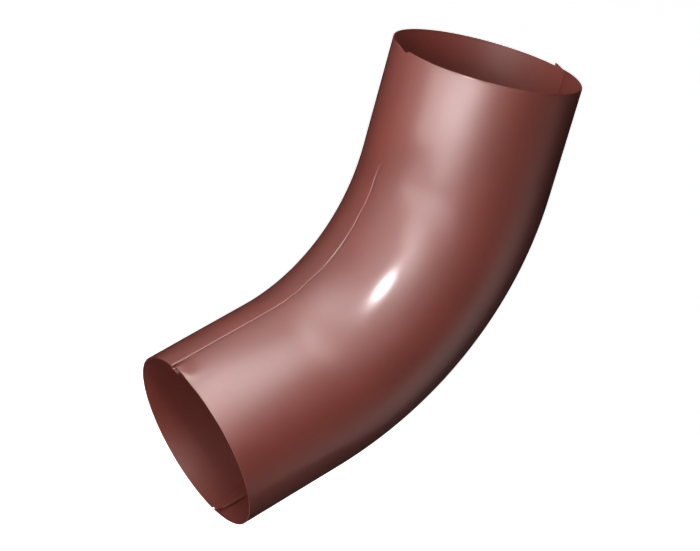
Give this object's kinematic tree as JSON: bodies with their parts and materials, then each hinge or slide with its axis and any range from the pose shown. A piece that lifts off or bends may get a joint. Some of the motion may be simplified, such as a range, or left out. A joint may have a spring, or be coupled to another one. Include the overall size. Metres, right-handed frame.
{
  "type": "downspout elbow",
  "caption": "Round sheet-steel downspout elbow of sixty degrees, two half shells seamed lengthwise, with a wide inlet socket and a narrower outlet.",
  "frame": {"origin": "centre of the inlet's rim", "axes": "+Z along the inlet's axis, up out of its mouth; the pipe bends towards -X; the front half shell is on the -Y side"},
  "size_m": [0.2033, 0.1036, 0.2637],
  "materials": {
    "painted_sheet": "satin red-brown coil coating"
  },
  "bodies": {
    "root": {"front_half_shell": "painted_sheet", "back_half_shell": "painted_sheet"}
  },
  "joints": []
}
